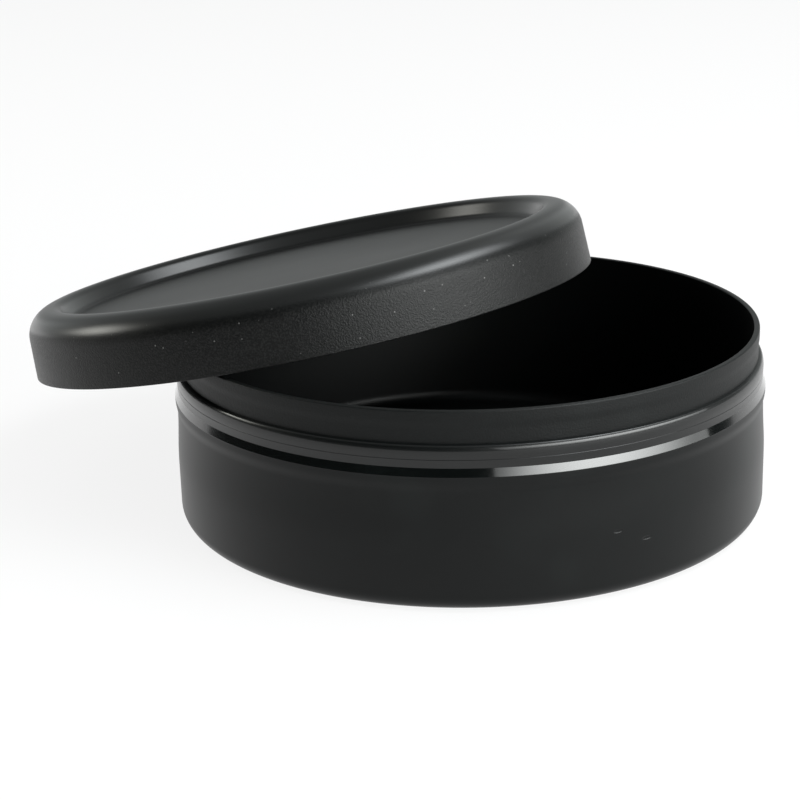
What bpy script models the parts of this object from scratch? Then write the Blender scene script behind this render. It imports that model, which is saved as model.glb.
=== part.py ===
"""Snus tin: a round container and its press-on lid, which is off and leans on the rim.

Units are metres and +Z is up. The origin is the centre of the container's underside.
The lid leans towards -X, so the XZ plane mirrors the tin onto itself.
"""

import math

import bmesh
import bpy
from mathutils import Matrix, Vector

MM = 0.001

# Both pieces are turned, with this many sides.
SIDES = 72

# Container, outside. The heights follow one another from the underside up.
TUB_RADIUS = 35.26 * MM
FOOT_FILLET = 1.8 * MM
WALL_STRAIGHT = 7.0 * MM
WALL_NARROWING = 6.3 * MM
WALL_INSET = 0.26 * MM
LIP_SWELL = 1.4 * MM
LIP_BAND = 0.5 * MM
LIP_INSET = 0.06 * MM
LIP_CHAMFER = 0.9 * MM
GROOVE_BAND = 0.45 * MM
GROOVE_INSET = 0.39 * MM
BEAD_RISE = 0.9 * MM
BEAD_INSET = 0.33 * MM
LEDGE_ROUND = 1.07 * MM
LEDGE_INSET = 0.68 * MM
LEDGE_RISE = 0.08 * MM
NECK_INSET = 0.97 * MM
NECK_BAND = 1.5 * MM
RIM_SWELL = 1.0 * MM
RIM_STAND = 0.08 * MM
RIM_BAND = 1.05 * MM
RIM_ROUND = 0.18 * MM

# Container, inside.
RIM_THICKNESS = 0.67 * MM
INNER_DRAFT = 0.25 * MM
FLOOR_THICKNESS = 1.2 * MM
FLOOR_FILLET = 1.5 * MM

# How the closed lid would fit the container.
SNAP_CLEARANCE = 0.06 * MM
NECK_CLEARANCE = 0.08 * MM
RIM_CLEARANCE = 0.1 * MM
SEAT_RISE = 0.85 * MM
BORE_CLEARANCE = 0.1 * MM

# Lid, outside.
SKIRT_EDGE = 0.46 * MM
SKIRT_EDGE_ROUND = 0.12 * MM
SKIRT_DRAFT = 0.33 * MM
SHOULDER_ROUND = 3.3 * MM
CREST_FLAT = 0.06 * MM
CREST_ROUND = 1.2 * MM
CREST_THICKNESS = 1.85 * MM
RECESS_FILLET = 0.9 * MM
RECESS_SLOPE = math.radians(60)

# Lid, inside.
PANEL_THICKNESS = 0.8 * MM
PANEL_DROP = 1.15 * MM
SKIRT_TAPER = 0.9 * MM
CHANNEL_ROUND = 0.25 * MM

# How the open lid leans.
LID_OFFSET = 23.1 * MM
REST_GAP = 0.3 * MM

# Two rounds on one edge each take at most this share of it.
ROUND_SHARE = 0.45
SHARP_ANGLE = math.radians(38)
MERGE_DISTANCE = 0.001 * MM

# Worked out from the sizes above: the container's radii, and its levels above the underside.
NECK_RADIUS = TUB_RADIUS - NECK_INSET
RIM_RADIUS = NECK_RADIUS + RIM_STAND
BEAD_RADIUS = TUB_RADIUS - BEAD_INSET
LIP_RADIUS = TUB_RADIUS - LIP_INSET
WALL_HEIGHT = WALL_STRAIGHT + WALL_NARROWING
LIP_LEVEL = WALL_HEIGHT + LIP_SWELL + LIP_BAND
GROOVE_LEVEL = LIP_LEVEL + LIP_CHAMFER
BEAD_LEVEL = GROOVE_LEVEL + GROOVE_BAND + BEAD_RISE
LEDGE_LEVEL = BEAD_LEVEL + LEDGE_ROUND
NECK_LEVEL = LEDGE_LEVEL + LEDGE_RISE
RIM_FOOT_LEVEL = NECK_LEVEL + NECK_BAND + RIM_SWELL
RIM_LEVEL = RIM_FOOT_LEVEL + RIM_BAND

# The same for the lid, whose levels start at its skirt's bottom edge.
SEAT_LEVEL = LIP_LEVEL + SEAT_RISE
SKIRT_RADIUS = BEAD_RADIUS + SNAP_CLEARANCE
CEILING = RIM_LEVEL + RIM_CLEARANCE - SEAT_LEVEL
PANEL_UNDERSIDE = CEILING - PANEL_DROP
LID_TOP = CEILING + CREST_THICKNESS


def clear_scene():
    for obj in list(bpy.data.objects):
        bpy.data.objects.remove(obj, do_unlink=True)


def swell(start, end, steps):
    """The points (r, z) after start on a smooth S-shaped step to end."""
    points = []
    for step in range(1, steps + 1):
        share = step / steps
        ease = (1 - math.cos(math.pi * share)) / 2
        points.append((start[0] + (end[0] - start[0]) * ease, start[1] + (end[1] - start[1]) * share))
    return points


def shouldered(start, end, steps):
    """The points (r, z) before end on a quarter ellipse, level at start and upright at end."""
    points = []
    for step in range(1, steps):
        turn = math.pi / 2 * step / steps
        points.append((
            start[0] + (end[0] - start[0]) * math.sin(turn),
            end[1] + (start[1] - end[1]) * math.cos(turn),
        ))
    return points


def rounded(corners):
    """The points through corners (r, z), where a corner (r, z, radius, steps) becomes an arc."""
    outline = []
    for index, corner in enumerate(corners):
        tip = Vector(corner[:2])
        if len(corner) == 2:
            outline.append(tip)
            continue
        radius, steps = corner[2:]
        back = (Vector(corners[index - 1][:2]) - tip).normalized()
        ahead = (Vector(corners[index + 1][:2]) - tip).normalized()
        half = back.angle(ahead) / 2
        centre = tip + (back + ahead).normalized() * radius / math.sin(half)
        spoke = tip + back * radius / math.tan(half) - centre
        turn = math.pi - 2 * half
        if back.cross(ahead) > 0:
            turn = -turn
        for step in range(steps + 1):
            outline.append(centre + Matrix.Rotation(turn * step / steps, 2) @ spoke)
    return outline


def turned(name, outline):
    """A mesh turned about Z. Its outline starts and ends on the axis and runs down the outer side."""
    shape = bmesh.new()
    points = [shape.verts.new((r, 0, z)) for r, z in outline]
    edges = [shape.edges.new(pair) for pair in zip(points, points[1:])]
    bmesh.ops.spin(
        shape,
        geom=points + edges,
        axis=(0, 0, 1),
        cent=(0, 0, 0),
        angle=2 * math.pi,
        steps=SIDES,
        use_merge=True,
    )
    on_axis = [point for point in shape.verts if point.co.xy.length < MERGE_DISTANCE]
    bmesh.ops.remove_doubles(shape, verts=on_axis, dist=MERGE_DISTANCE)
    bmesh.ops.recalc_face_normals(shape, faces=shape.faces)
    mesh = bpy.data.meshes.new(name)
    shape.to_mesh(mesh)
    shape.free()
    mesh.shade_smooth()
    mesh.set_sharp_from_angle(angle=SHARP_ANGLE)
    return mesh


def plastic(name, colour, roughness):
    material = bpy.data.materials.new(name)
    material.use_nodes = True
    shader = material.node_tree.nodes["Principled BSDF"]
    shader.inputs["Base Color"].default_value = (*colour, 1)
    shader.inputs["Roughness"].default_value = roughness
    shader.inputs["Metallic"].default_value = 0
    return material


def container_plastic():
    return plastic("container_plastic", colour=(0.012, 0.012, 0.013), roughness=0.36)


def lid_plastic():
    return plastic("lid_plastic", colour=(0.02, 0.021, 0.021), roughness=0.5)


def add_piece(name, outline, material):
    mesh = turned(name, outline)
    mesh.materials.append(material)
    piece = bpy.data.objects.new(name, mesh)
    bpy.context.scene.collection.objects.link(piece)
    return piece


def container_outline():
    mouth_radius = RIM_RADIUS - RIM_THICKNESS
    floor_radius = mouth_radius - INNER_DRAFT
    rim_round = min(RIM_ROUND, RIM_THICKNESS * ROUND_SHARE)
    rim_foot = (RIM_RADIUS, RIM_FOOT_LEVEL)
    neck_top = (NECK_RADIUS, NECK_LEVEL + NECK_BAND)
    neck_foot = (NECK_RADIUS, NECK_LEVEL)
    ledge_edge = (TUB_RADIUS - LEDGE_INSET, LEDGE_LEVEL)
    bead_crest = (BEAD_RADIUS, BEAD_LEVEL)
    groove_top = (TUB_RADIUS - GROOVE_INSET, GROOVE_LEVEL + GROOVE_BAND)
    groove_foot = (TUB_RADIUS - GROOVE_INSET, GROOVE_LEVEL)
    lip_crest = (LIP_RADIUS, LIP_LEVEL)
    lip_foot = (LIP_RADIUS, LIP_LEVEL - LIP_BAND)
    wall_top = (TUB_RADIUS - WALL_INSET, WALL_HEIGHT)
    wall_bulge = (TUB_RADIUS, WALL_STRAIGHT)
    return rounded([
        (0, FLOOR_THICKNESS),
        (floor_radius, FLOOR_THICKNESS, FLOOR_FILLET, 4),
        (mouth_radius, RIM_LEVEL, rim_round, 2),
        (RIM_RADIUS, RIM_LEVEL, rim_round, 2),
        rim_foot,
        *swell(rim_foot, neck_top, 2),
        neck_foot,
        ledge_edge,
        *shouldered(ledge_edge, bead_crest, 4),
        bead_crest,
        *swell(bead_crest, groove_top, 2),
        groove_foot,
        lip_crest,
        lip_foot,
        *swell(lip_foot, wall_top, 4),
        *swell(wall_top, wall_bulge, 4),
        (TUB_RADIUS, 0, FOOT_FILLET, 5),
        (0, 0),
    ])


def lid_outline():
    panel_top = PANEL_UNDERSIDE + PANEL_THICKNESS
    edge_radius = SKIRT_RADIUS + SKIRT_EDGE
    side_radius = edge_radius - SKIRT_DRAFT
    fit_radius = RIM_RADIUS + NECK_CLEARANCE
    bore_top = NECK_LEVEL + BORE_CLEARANCE - SEAT_LEVEL
    # The crest is flat between its two rounds, and the recess wall slopes down from the inner one.
    crest_inner = side_radius - SHOULDER_ROUND - CREST_FLAT - CREST_ROUND * math.tan(RECESS_SLOPE / 2)
    floor_radius = crest_inner - (LID_TOP - panel_top) / math.tan(RECESS_SLOPE)
    # The underside keeps the panel's thickness, behind the recess wall too.
    under_radius = floor_radius + PANEL_THICKNESS * math.tan(RECESS_SLOPE / 2)
    ceiling_radius = under_radius + PANEL_DROP / math.tan(RECESS_SLOPE)
    return rounded([
        (0, panel_top),
        (floor_radius, panel_top, RECESS_FILLET, 3),
        (crest_inner, LID_TOP, CREST_ROUND, 4),
        (side_radius, LID_TOP, SHOULDER_ROUND, 8),
        (edge_radius, 0, SKIRT_EDGE_ROUND, 2),
        (SKIRT_RADIUS, 0),
        (SKIRT_RADIUS, bore_top),
        (fit_radius, bore_top + SKIRT_TAPER),
        (fit_radius, CEILING, CHANNEL_ROUND, 2),
        (ceiling_radius, CEILING),
        (under_radius, PANEL_UNDERSIDE, CHANNEL_ROUND, 2),
        (0, PANEL_UNDERSIDE),
    ])


def leaning_pose():
    """The open lid's tilt, and the height of its skirt's centre.

    Its panel lies on the rim at -X. Its skirt's inner edge lies on the rim in two places, one on
    each side of the XZ plane, and crossing is how far towards +X they are from the skirt's centre.
    """
    tilt = 0
    crossing = 0
    for _ in range(80):
        rise = crossing * math.tan(tilt)
        crossing = (LID_OFFSET**2 + SKIRT_RADIUS**2 - RIM_RADIUS**2 - rise**2) / (2 * LID_OFFSET)
        span = RIM_RADIUS - LID_OFFSET + crossing
        tilt = math.asin((PANEL_UNDERSIDE - REST_GAP + REST_GAP * math.cos(tilt)) / span)
    return tilt, RIM_LEVEL + REST_GAP - crossing * math.tan(tilt)


def add_container():
    add_piece("container", container_outline(), container_plastic())


def add_lid():
    lid = add_piece("lid", lid_outline(), lid_plastic())
    tilt, height = leaning_pose()
    lid.location = (-LID_OFFSET, 0, height)
    lid.rotation_euler = (0, -tilt, 0)


def main():
    clear_scene()
    add_container()
    add_lid()


main()
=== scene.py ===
# Snus tin in black plastic, standing open, with its press-on lid leaning on the rim.
# Sizes are in millimetres, angles in degrees. The lid's heights start at its skirt's bottom edge.

import math

import bmesh
import bpy
from mathutils import Matrix, Vector


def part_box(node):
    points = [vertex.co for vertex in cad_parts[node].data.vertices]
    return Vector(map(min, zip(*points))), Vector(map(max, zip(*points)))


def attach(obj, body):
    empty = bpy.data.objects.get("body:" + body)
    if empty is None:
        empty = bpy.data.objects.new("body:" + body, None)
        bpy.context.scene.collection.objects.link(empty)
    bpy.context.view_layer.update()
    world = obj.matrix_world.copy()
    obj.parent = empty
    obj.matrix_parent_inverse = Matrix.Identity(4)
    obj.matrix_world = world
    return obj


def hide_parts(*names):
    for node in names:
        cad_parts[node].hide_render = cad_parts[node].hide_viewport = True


mm = 0.001
sides = 192  # round the tin
curveSteps = 16  # along each soft step of an outline

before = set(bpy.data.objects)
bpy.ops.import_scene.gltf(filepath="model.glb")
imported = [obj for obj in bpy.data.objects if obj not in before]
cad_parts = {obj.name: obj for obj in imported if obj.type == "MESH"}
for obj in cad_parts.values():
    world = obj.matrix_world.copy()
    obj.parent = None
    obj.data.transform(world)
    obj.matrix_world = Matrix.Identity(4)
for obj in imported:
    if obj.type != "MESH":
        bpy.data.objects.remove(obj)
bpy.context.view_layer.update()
print("frame loaded:", ", ".join(sorted(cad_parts)))


# shader sockets that read as arithmetic
class Wire:
    def __init__(self, tree, socket=None):
        self.tree = tree
        self.socket = socket

    def feed(self, socket, value):
        if isinstance(value, Wire):
            self.tree.links.new(value.socket, socket)
        else:
            socket.default_value = value

    def node(self, kind, settings, sockets, output=0):
        made = self.tree.nodes.new(kind)
        for key, value in settings.items():
            setattr(made, key, value)
        for key, value in sockets.items():
            self.feed(made.inputs[key], value)
        return Wire(self.tree, made.outputs[output])

    def maths(self, operation, *values):
        return self.node("ShaderNodeMath", {"operation": operation}, dict(enumerate(values)))

    def __add__(self, other):
        return self.maths("ADD", self, other)

    def __sub__(self, other):
        return self.maths("SUBTRACT", self, other)

    def __rsub__(self, other):
        return self.maths("SUBTRACT", other, self)

    def __mul__(self, other):
        return self.maths("MULTIPLY", self, other)

    __radd__ = __add__
    __rmul__ = __mul__

    # 0 below low, 1 above high, smooth between them
    def rise(self, low, high):
        limits = {"Value": self, "From Min": low, "From Max": high}
        return self.node("ShaderNodeMapRange", {"interpolation_type": "SMOOTHSTEP"}, limits)

    def band(self, low, high, soft):
        return self.rise(low - soft, low + soft) * (1 - self.rise(high - soft, high + soft))

    def blend(self, low, high):
        return self * (high - low) + low

    def noise(self, scale, detail=2):
        return self.node("ShaderNodeTexNoise", {}, {"Vector": self, "Scale": scale, "Detail": detail})

    def stretch(self, x, y, z):
        return self.node("ShaderNodeVectorMath", {"operation": "MULTIPLY"}, {0: self, 1: (x, y, z)})

    # small round dots, size mm across, in a share of the cells
    def dots(self, spacing, size, share, core=0.6):
        cells = {"Vector": self, "Scale": 1 / spacing, "Randomness": 1}
        distance = self.node("ShaderNodeTexVoronoi", {}, cells)
        tint = self.node("ShaderNodeTexVoronoi", {}, cells, 1)
        draw = self.node("ShaderNodeSeparateColor", {}, {0: tint})
        kept = draw.maths("GREATER_THAN", draw, 1 - share)
        reach = size / spacing / 2
        return (1 - distance.rise(reach * core, reach)) * kept

    # 1 for what the camera, reflections and glass see, 0 for the light that falls on things
    def rays(self):
        names = ("Is Camera Ray", "Is Glossy Ray", "Is Transmission Ray")
        camera, glossy, through = [self.node("ShaderNodeLightPath", {}, {}, name) for name in names]
        return self.maths("MAXIMUM", self.maths("MAXIMUM", camera, glossy), through)

    # 1 in the middle of a soft spot on an upright wall, 0 outside it
    def spot(self, centre, across, upright, core=0.4):
        offset = self.node("ShaderNodeVectorMath", {"operation": "SUBTRACT"}, {0: self, 1: centre})
        scaled = offset.stretch(1 / across, 1 / across, 1 / upright)
        length = scaled.node("ShaderNodeVectorMath", {"operation": "LENGTH"}, {0: scaled}, "Value")
        return 1 - length.rise(core, 1)

    # a colour between two, by a share
    def tint(self, low, high):
        both = {0: self, 6: (*low, 1), 7: (*high, 1)}
        return self.node("ShaderNodeMix", {"data_type": "RGBA"}, both, 2)


def newPlastic(name, piece):
    material = bpy.data.materials.new(name)
    material.use_nodes = True
    tree = material.node_tree
    shader = tree.nodes["Principled BSDF"]
    shader.inputs["Specular IOR Level"].default_value = piece["gloss"]
    shader.inputs["Coat Roughness"].default_value = piece["polishRoughness"]
    local = Wire(tree).node("ShaderNodeTexCoord", {}, {}, 3)
    place = local.node("ShaderNodeVectorMath", {"operation": "SCALE"}, {0: local, "Scale": 1 / mm})
    axes = [place.node("ShaderNodeSeparateXYZ", {}, {0: place}, axis) for axis in range(3)]
    radius = place.maths("SQRT", axes[0] * axes[0] + axes[1] * axes[1])
    return material, shader, place, radius, axes[2]


def dress(shader, place, colour, roughness, relief, coat=0):
    place.feed(shader.inputs["Base Color"], colour)
    place.feed(shader.inputs["Roughness"], roughness)
    place.feed(shader.inputs["Coat Weight"], coat)
    bump = place.node("ShaderNodeBump", {}, {"Height": relief, "Distance": mm, "Strength": 1})
    place.feed(shader.inputs["Normal"], bump)


# the points (r, z) after start on a smooth S-shaped step to end
def softStep(start, end):
    points = []
    for step in range(1, curveSteps + 1):
        share = step / curveSteps
        ease = (1 - math.cos(math.pi * share)) / 2
        points.append((start[0] + (end[0] - start[0]) * ease, start[1] + (end[1] - start[1]) * share))
    return points


# the points before end on a quarter ellipse, level at start and upright at end
def shoulder(start, end):
    points = []
    for step in range(1, curveSteps):
        turn = math.pi / 2 * step / curveSteps
        across = start[0] + (end[0] - start[0]) * math.sin(turn)
        points.append((across, end[1] + (start[1] - end[1]) * math.cos(turn)))
    return points


# corners (r, z) joined up, those with a third number rounded to that radius
def roundedLine(corners, degreesPerStep=6, fewestSteps=4):
    line = []
    for index, corner in enumerate(corners):
        tip = Vector(corner[:2])
        if len(corner) == 2:
            line.append(tip)
            continue
        back = (Vector(corners[index - 1][:2]) - tip).normalized()
        ahead = (Vector(corners[index + 1][:2]) - tip).normalized()
        half = back.angle(ahead) / 2
        centre = tip + (back + ahead).normalized() * corner[2] / math.sin(half)
        spoke = tip + back * corner[2] / math.tan(half) - centre
        turn = math.copysign(math.pi - 2 * half, -back.cross(ahead))
        steps = max(fewestSteps, round(abs(math.degrees(turn)) / degreesPerStep))
        for step in range(steps + 1):
            line.append(centre + Matrix.Rotation(turn * step / steps, 2) @ spoke)
    return line


# a piece turned about Z from a line that starts and ends on the axis
def turnedPiece(name, line, material, sharpAngle=40):
    shape = bmesh.new()
    rings = []
    for radius, height in line:
        if radius == 0:
            rings.append([shape.verts.new((0, 0, height * mm))] * sides)
            continue
        angles = [2 * math.pi * side / sides for side in range(sides)]
        rings.append([
            shape.verts.new((radius * mm * math.cos(angle), radius * mm * math.sin(angle), height * mm))
            for angle in angles
        ])
    for upper, lower in zip(rings, rings[1:]):
        for side in range(sides):
            after = (side + 1) % sides
            corners = [upper[side], lower[side], lower[after], upper[after]]
            shape.faces.new(list(dict.fromkeys(corners)))
    bmesh.ops.recalc_face_normals(shape, faces=shape.faces)
    mesh = bpy.data.meshes.new(name)
    shape.to_mesh(mesh)
    shape.free()
    mesh.shade_smooth()
    mesh.set_sharp_from_angle(angle=math.radians(sharpAngle))
    mesh.materials.append(material)
    piece = bpy.data.objects.new(name, mesh)
    bpy.context.scene.collection.objects.link(piece)
    return piece


# container
tub = {
    "wallStraight": 7.0,  # above it the wall narrows towards the lip
    "wallNarrowing": 6.3,
    "wallInset": 0.26,
    "lipSwell": 1.4,
    "lipBand": 0.5,
    "lipInset": 0.06,
    "lipChamfer": 0.9,
    "grooveBand": 0.45,
    "grooveInset": 0.39,
    "beadRise": 0.9,
    "beadInset": 0.33,
    "ledgeRound": 1.07,
    "ledgeInset": 0.68,
    "ledgeRise": 0.08,
    "neckInset": 0.97,
    "neckBand": 1.5,
    "rimSwell": 1.0,
    "rimStand": 0.08,
    "rimRound": 0.18,
    "rimThickness": 0.67,
    "innerDraft": 0.25,
    "floorThickness": 1.2,
    "floorFillet": 1.5,
    "footFillet": 1.8,
    "lipRound": 0.25,
    "edgeRound": 0.12,  # rounds the moulding's small steps
    "hairline": 0.03,  # depth of the fine line scribed under the bead
    # the darkest colour; the inside of the tub keeps it, as painted shade in the hollow
    "colour": (0.0008, 0.0012, 0.0012),
    "scuffColour": (0.0078, 0.0102, 0.0098),
    "wallPaleness": 0.1,  # shares of the scuff's colour
    "neckPaleness": 0.15,
    "scuffing": 0.5,
    "scuffRange": (0.55, 0.8),  # where in the noise the scuffs start and are full
    "grainRange": (0.4, 0.65),
    "maskEdge": 0.1,  # how softly one finish passes into the next
    "gloss": 0.22,
    "wallRoughness": 0.33,
    "beadRoughness": 0.34,
    "neckRoughness": 0.46,
    "insideRoughness": 0.42,
    "lipRoughness": 0.1,
    "polishRoughness": 0.08,
    "beadPolish": 0.52,  # how much of a polished coat the bead and the lip show
    "lipPolish": 0.9,
    "drift": 0.06,  # broad, faint changes of the roughness
    "driftScale": 0.06,  # the noise's waves in a millimetre
    "grainScale": 5,
    "grainRelief": 0.002,
    "neckRelief": 0.03,
    "mottle": 0.12,  # changes of the roughness from grain to grain
    "nicks": [(-30.7, 7.6, 1.3, 0.5), (-24.7, 6.1, 1.6, 0.5)],  # angle, height, width, tallness
    "nickRelief": 0.05,
}

low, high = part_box("container")
tubRadius = high.x / mm
neckRadius = tubRadius - tub["neckInset"]
rimRadius = neckRadius + tub["rimStand"]
mouthRadius = rimRadius - tub["rimThickness"]
beadRadius = tubRadius - tub["beadInset"]
lipRadius = tubRadius - tub["lipInset"]
wallTop = tub["wallStraight"] + tub["wallNarrowing"]
lipLevel = wallTop + tub["lipSwell"] + tub["lipBand"]
grooveLevel = lipLevel + tub["lipChamfer"]
beadLevel = grooveLevel + tub["grooveBand"] + tub["beadRise"]
ledgeLevel = beadLevel + tub["ledgeRound"]
neckLevel = ledgeLevel + tub["ledgeRise"]
rimFoot = neckLevel + tub["neckBand"] + tub["rimSwell"]
rimLevel = high.z / mm


def tubLine():
    small = tub["edgeRound"]
    foot = (rimRadius, rimFoot)
    neckTop = (neckRadius, neckLevel + tub["neckBand"])
    ledge = (tubRadius - tub["ledgeInset"], ledgeLevel)
    bead = (beadRadius, beadLevel)
    grooveRadius = tubRadius - tub["grooveInset"]
    grooveTop = (grooveRadius, grooveLevel + tub["grooveBand"])
    hairLevel = (beadLevel + grooveTop[1]) / 2
    hairRadius = (beadRadius + grooveRadius) / 2
    depth = tub["hairline"]
    lipFoot = (lipRadius, lipLevel - tub["lipBand"])
    wall = (tubRadius - tub["wallInset"], wallTop)
    bulge = (tubRadius, tub["wallStraight"])
    return roundedLine([
        (0, tub["floorThickness"]),
        (mouthRadius - tub["innerDraft"], tub["floorThickness"], tub["floorFillet"]),
        (mouthRadius, rimLevel, tub["rimRound"]),
        (rimRadius, rimLevel, tub["rimRound"]),
        foot,
        *softStep(foot, neckTop),
        (neckRadius, neckLevel),
        ledge,
        *shoulder(ledge, bead),
        bead,
        (hairRadius, hairLevel + depth),
        (hairRadius - depth, hairLevel),
        (hairRadius, hairLevel - depth),
        grooveTop,
        (grooveRadius, grooveLevel, small),
        (lipRadius, lipLevel, tub["lipRound"]),
        lipFoot,
        *softStep(lipFoot, wall),
        *softStep(wall, bulge),
        (tubRadius, 0, tub["footFillet"]),
        (0, 0),
    ])


def tubPlastic():
    material, shader, place, radius, height = newPlastic("containerPlastic", tub)
    edge = tub["maskEdge"]
    inside = 1 - radius.rise(mouthRadius + edge, mouthRadius + 2 * edge)
    inside = inside * height.rise(0, tub["floorThickness"])
    neck = height.rise(neckLevel - 2 * edge, neckLevel) * (1 - inside)
    bead = height.band(grooveLevel, ledgeLevel, edge) * (1 - inside)
    lip = height.band(lipLevel, grooveLevel, edge / 2) * (1 - inside)
    drift = place.noise(tub["driftScale"], detail=3)
    grain = place.noise(tub["grainScale"])
    roughness = drift * tub["drift"] + tub["wallRoughness"]
    for mask, name in ((neck, "neck"), (bead, "bead"), (lip, "lip"), (inside, "inside")):
        roughness = roughness + mask * (tub[name + "Roughness"] - tub["wallRoughness"])
    roughness = roughness + neck * (grain - 0.5) * tub["mottle"]
    relief = grain * (neck * tub["neckRelief"] + tub["grainRelief"]) * (1 - lip)
    for angle, level, width, tallness in tub["nicks"]:
        turn = math.radians(angle)
        centre = (tubRadius * math.cos(turn), tubRadius * math.sin(turn), level)
        relief = relief - place.spot(centre, width / 2, tallness / 2) * tub["nickRelief"]
    scuffs = drift.rise(*tub["scuffRange"]) * tub["scuffing"]
    # the inside keeps only the plain darkest colour, without the wall's paleness and scuffs: painted shade
    # in the tub's hollow; outside, real scuffs and the wall's tone
    wearWithShadedInside = (1 - inside) * (scuffs + tub["wallPaleness"])
    wearWithShadedInside = wearWithShadedInside + neck * grain.rise(*tub["grainRange"]) * tub["neckPaleness"]
    colour = wearWithShadedInside.tint(tub["colour"], tub["scuffColour"])
    dress(shader, place, colour, roughness, relief, bead * tub["beadPolish"] + lip * tub["lipPolish"])
    return material


container = turnedPiece("container_shell", tubLine(), tubPlastic())
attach(container, "container")
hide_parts("container")
print("container built")


# lid
cap = {
    "seatRise": 0.85,  # the closed skirt's edge stands this far above the lip
    "snapClearance": 0.06,
    "boreClearance": 0.1,
    "neckClearance": 0.08,
    "rimClearance": 0.1,
    "skirtEdge": 0.46,
    "edgeRound": 0.12,
    "skirtDraft": 0.33,
    "shoulderRound": 3.3,
    "crestFlat": 0.06,
    "crestRound": 1.2,
    "crestThickness": 1.85,
    "recessFillet": 0.9,
    "recessSlope": 60,
    "panelThickness": 0.8,
    "panelDrop": 1.15,
    "skirtTaper": 0.9,
    "channelRound": 0.25,
    "offset": 23.1,  # how far the open lid's centre is from the container's
    "restGap": 0.3,
    "colour": (0.0018, 0.0021, 0.002),
    "speckColour": (0.13, 0.13, 0.126),
    "gloss": 0.2,
    "skirtRoughness": 0.37,
    "panelRoughness": 0.4,
    "crestRoughness": 0.32,
    "polishRoughness": 0.22,
    "polish": 0.48,  # how much shinier the recess's slope and the rounded edge are
    "polishFade": (0.8, 0.2),  # between these depths below the crest it fades out
    "maskEdge": 0.3,
    "drift": 0.06,
    "driftScale": 0.06,
    "skirtRelief": 0.055,
    "panelRelief": 0.002,
    "grainFade": (3.9, 0.7),  # between these depths below the crest the skirt's grain fades out
    "grainReach": 1.2,  # how far in from the skirt it goes
    "grainScale": 5,  # grains in a millimetre
    "grainRange": (0.42, 0.66),
    "grainPaleness": 0.06,  # beside a speck's
    "mottle": 0.3,
    "speckSpacing": 1,
    "speckSize": 0.22,
    "speckShare": 0.42,
}

seatLevel = lipLevel + cap["seatRise"]
skirtRadius = beadRadius + cap["snapClearance"]
ceiling = rimLevel + cap["rimClearance"] - seatLevel
panelUnderside = ceiling - cap["panelDrop"]
panelTop = panelUnderside + cap["panelThickness"]
lidTop = ceiling + cap["crestThickness"]
edgeRadius = skirtRadius + cap["skirtEdge"]
sideRadius = edgeRadius - cap["skirtDraft"]
slope = math.radians(cap["recessSlope"])
crestInner = sideRadius - cap["shoulderRound"] - cap["crestFlat"] - cap["crestRound"] * math.tan(slope / 2)
floorRadius = crestInner - (lidTop - panelTop) / math.tan(slope)


def lidLine():
    fitRadius = rimRadius + cap["neckClearance"]
    boreTop = neckLevel + cap["boreClearance"] - seatLevel
    underRadius = floorRadius + cap["panelThickness"] * math.tan(slope / 2)
    return roundedLine([
        (0, panelTop),
        (floorRadius, panelTop, cap["recessFillet"]),
        (crestInner, lidTop, cap["crestRound"]),
        (sideRadius, lidTop, cap["shoulderRound"]),
        (edgeRadius, 0, cap["edgeRound"]),
        (skirtRadius, 0),
        (skirtRadius, boreTop),
        (fitRadius, boreTop + cap["skirtTaper"]),
        (fitRadius, ceiling, cap["channelRound"]),
        (underRadius + cap["panelDrop"] / math.tan(slope), ceiling),
        (underRadius, panelUnderside, cap["channelRound"]),
        (0, panelUnderside),
    ])


# tilt, and the height of the skirt's centre, with the panel and two places of the skirt on the rim
def leaningPose():
    offset = cap["offset"]
    gap = cap["restGap"]
    rounds = 80  # each brings both values closer
    tilt = 0
    crossing = 0
    for _ in range(rounds):
        rise = crossing * math.tan(tilt)
        crossing = (offset**2 + skirtRadius**2 - rimRadius**2 - rise**2) / (2 * offset)
        span = rimRadius - offset + crossing
        tilt = math.asin((panelUnderside - gap + gap * math.cos(tilt)) / span)
    return tilt, rimLevel + gap - crossing * math.tan(tilt)


def lidPlastic():
    material, shader, place, radius, height = newPlastic("lidPlastic", cap)
    edge = cap["maskEdge"]
    panel = 1 - radius.rise(floorRadius - edge, floorRadius + edge)
    grainInner = skirtRadius - cap["grainReach"]
    fade = [lidTop - depth for depth in cap["grainFade"]]
    skirt = (1 - height.rise(*fade)) * radius.rise(grainInner, grainInner + edge)
    drift = place.noise(cap["driftScale"], detail=3)
    grain = place.noise(cap["grainScale"], detail=3)
    roughness = drift * cap["drift"] + cap["crestRoughness"]
    roughness = roughness + panel * (cap["panelRoughness"] - cap["crestRoughness"])
    roughness = roughness + skirt * (cap["skirtRoughness"] - cap["crestRoughness"])
    roughness = roughness + skirt * (grain - 0.5) * cap["mottle"]
    relief = grain * (skirt * cap["skirtRelief"] + cap["panelRelief"])
    specks = place.dots(cap["speckSpacing"], cap["speckSize"], cap["speckShare"]) * skirt
    pale = grain.rise(*cap["grainRange"]) * skirt * cap["grainPaleness"] + specks
    colour = pale.tint(cap["colour"], cap["speckColour"])
    slopes = height.rise(panelTop, panelTop + 2 * edge) * radius.rise(floorRadius, floorRadius + edge)
    fade = [lidTop - depth for depth in cap["polishFade"]]
    polish = slopes * (1 - height.rise(*fade)) * cap["polish"]
    dress(shader, place, colour, roughness, relief, polish)
    return material


lid = turnedPiece("lid_shell", lidLine(), lidPlastic())
tilt, height = leaningPose()
lid.location = Vector((-cap["offset"], 0, height)) * mm
lid.rotation_euler = (0, -tilt, 0)
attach(lid, "lid")
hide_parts("lid")
print("lid built")


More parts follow.
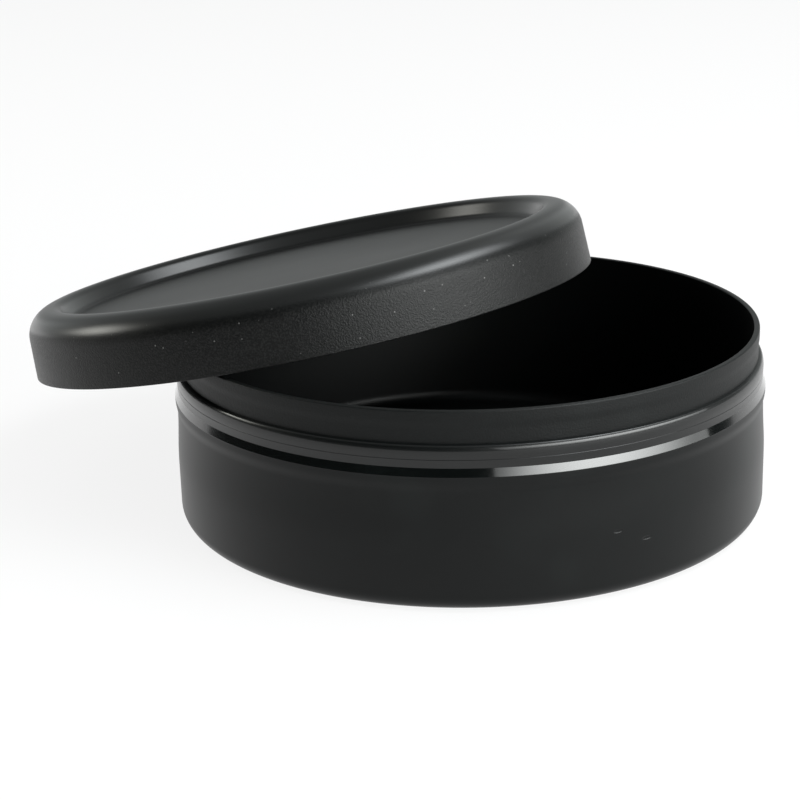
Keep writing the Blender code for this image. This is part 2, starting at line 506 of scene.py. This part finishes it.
# studio
studio = {
    "cameraPlace": (117.68, -179.43, 82.81),
    "cameraTurn": (71.785, 1.652, 34.941),
    "lens": 83.85,
    "sensorWidth": 36,
    "clipStart": 10,
    "floorSpan": 30000,
    "floorRoughness": 0.9,
    "floorColour": (0.82, 0.82, 0.82),
    "floorGlow": 0.86,  # share of plain white in what the camera and reflections see of the floor
    "horizonLevel": 0.03,
    "zenithLevel": 0.4,
    "zenithSpread": (0.4, 0.95),  # the sine of the elevation where it starts and is full
    "backdropLevel": 0.65,
    "backdropSpread": (0.2, 0.9),  # the same for the turn towards what is behind the tin
    "worldColour": (0.955, 1, 0.99),
    "lampDistance": 700,
    "lampAim": (0, 0, 15),
    "lampEdge": 0.15,  # a lamp's brightness at its corners, beside its centre
    "lampFade": (1.1, 0.1),  # it falls off between these shares of the way out
}

# each lamp's turn to the right of the camera, its elevation, its width and height, and its brightness
lamps = {
    "rightSoftbox": {
        "turn": 54, "rise": 17, "width": 86, "height": 26, "level": 11.3, "colour": (0.975, 1, 0.992),
    },
    "upperSoftbox": {
        "turn": 77, "rise": 58, "width": 60, "height": 30, "level": 9, "colour": (0.94, 0.98, 1),
    },
    "leftSoftbox": {
        "turn": -103, "rise": 21, "width": 30, "height": 22, "level": 6, "colour": (1, 1, 0.93),
    },
}


def addCamera():
    data = bpy.data.cameras.new("camera")
    data.lens = studio["lens"]
    data.sensor_width = studio["sensorWidth"]
    data.clip_start = studio["clipStart"] * mm
    camera = bpy.data.objects.new("camera", data)
    camera.location = Vector(studio["cameraPlace"]) * mm
    camera.rotation_euler = [math.radians(angle) for angle in studio["cameraTurn"]]
    bpy.context.scene.collection.objects.link(camera)
    bpy.context.scene.camera = camera


def addFloor():
    span = studio["floorSpan"] * mm
    shape = bmesh.new()
    bmesh.ops.create_grid(shape, x_segments=8, y_segments=8, size=span / 2)
    mesh = bpy.data.meshes.new("floor")
    shape.to_mesh(mesh)
    shape.free()
    material = bpy.data.materials.new("floorPaper")
    material.use_nodes = True
    tree = material.node_tree
    shader = tree.nodes["Principled BSDF"]
    shader.inputs["Base Color"].default_value = (*studio["floorColour"], 1)
    shader.inputs["Roughness"].default_value = studio["floorRoughness"]
    shader.inputs["Specular IOR Level"].default_value = 0
    seen = Wire(tree).rays()
    glow = seen.node("ShaderNodeEmission", {}, {"Strength": 1})
    paper = Wire(tree, shader.outputs[0])
    mixed = seen.node("ShaderNodeMixShader", {}, {0: seen * studio["floorGlow"], 1: paper, 2: glow})
    seen.feed(tree.nodes["Material Output"].inputs["Surface"], mixed)
    mesh.materials.append(material)
    floor = bpy.data.objects.new("floor", mesh)
    bpy.context.scene.collection.objects.link(floor)


def addWorld():
    world = bpy.data.worlds.new("studio")
    world.use_nodes = True
    bpy.context.scene.world = world
    tree = world.node_tree
    background = tree.nodes["Background"]
    direction = Wire(tree).node("ShaderNodeTexCoord", {}, {}, 0)
    upward = direction.node("ShaderNodeSeparateXYZ", {}, {0: direction}, 2)
    away = -Vector((*studio["cameraPlace"][:2], 0)).normalized()
    product = {"operation": "DOT_PRODUCT"}
    behind = direction.node("ShaderNodeVectorMath", product, {0: direction, 1: away}, "Value")
    background.inputs["Color"].default_value = (*studio["worldColour"], 1)
    zenith = upward.rise(*studio["zenithSpread"]) * studio["zenithLevel"]
    backdrop = behind.rise(*studio["backdropSpread"]) * studio["backdropLevel"]
    direction.feed(background.inputs["Strength"], zenith + backdrop + studio["horizonLevel"])


# brightest in the middle, falling off towards the edge
def softenEdge(data):
    data.use_nodes = True
    tree = data.node_tree
    across = Wire(tree).node("ShaderNodeNewGeometry", {}, {}, "Parametric")
    shares = [across.node("ShaderNodeSeparateXYZ", {}, {0: across}, axis) for axis in range(2)]
    offCentre = [share * 2 - 1 for share in shares]
    reach = across.maths("SQRT", offCentre[0] * offCentre[0] + offCentre[1] * offCentre[1])
    brightness = reach.rise(*studio["lampFade"]).blend(studio["lampEdge"], 1)
    across.feed(tree.nodes["Emission"].inputs["Strength"], brightness)


def addLamps():
    distance = studio["lampDistance"] * mm
    aim = Vector(studio["lampAim"]) * mm
    cameraAngle = math.atan2(studio["cameraPlace"][1], studio["cameraPlace"][0])
    for name, lamp in lamps.items():
        data = bpy.data.lights.new(name, "AREA")
        data.shape = "RECTANGLE"
        data.size = 2 * distance * math.tan(math.radians(lamp["width"] / 2))
        data.size_y = 2 * distance * math.tan(math.radians(lamp["height"] / 2))
        data.energy = 4 * data.size * data.size_y * lamp["level"]  # level 1 is plain white
        data.color = lamp["colour"]
        softenEdge(data)
        angle = cameraAngle + math.radians(lamp["turn"])
        rise = math.radians(lamp["rise"])
        way = Vector((math.cos(angle) * math.cos(rise), math.sin(angle) * math.cos(rise), math.sin(rise)))
        body = bpy.data.objects.new(name, data)
        body.location = aim + way * distance
        body.rotation_euler = way.to_track_quat("Z", "Y").to_euler()
        body.visible_camera = False
        bpy.context.scene.collection.objects.link(body)


addCamera()
addFloor()
addWorld()
addLamps()
bpy.context.scene.view_settings.view_transform = "Standard"
print("studio ready")
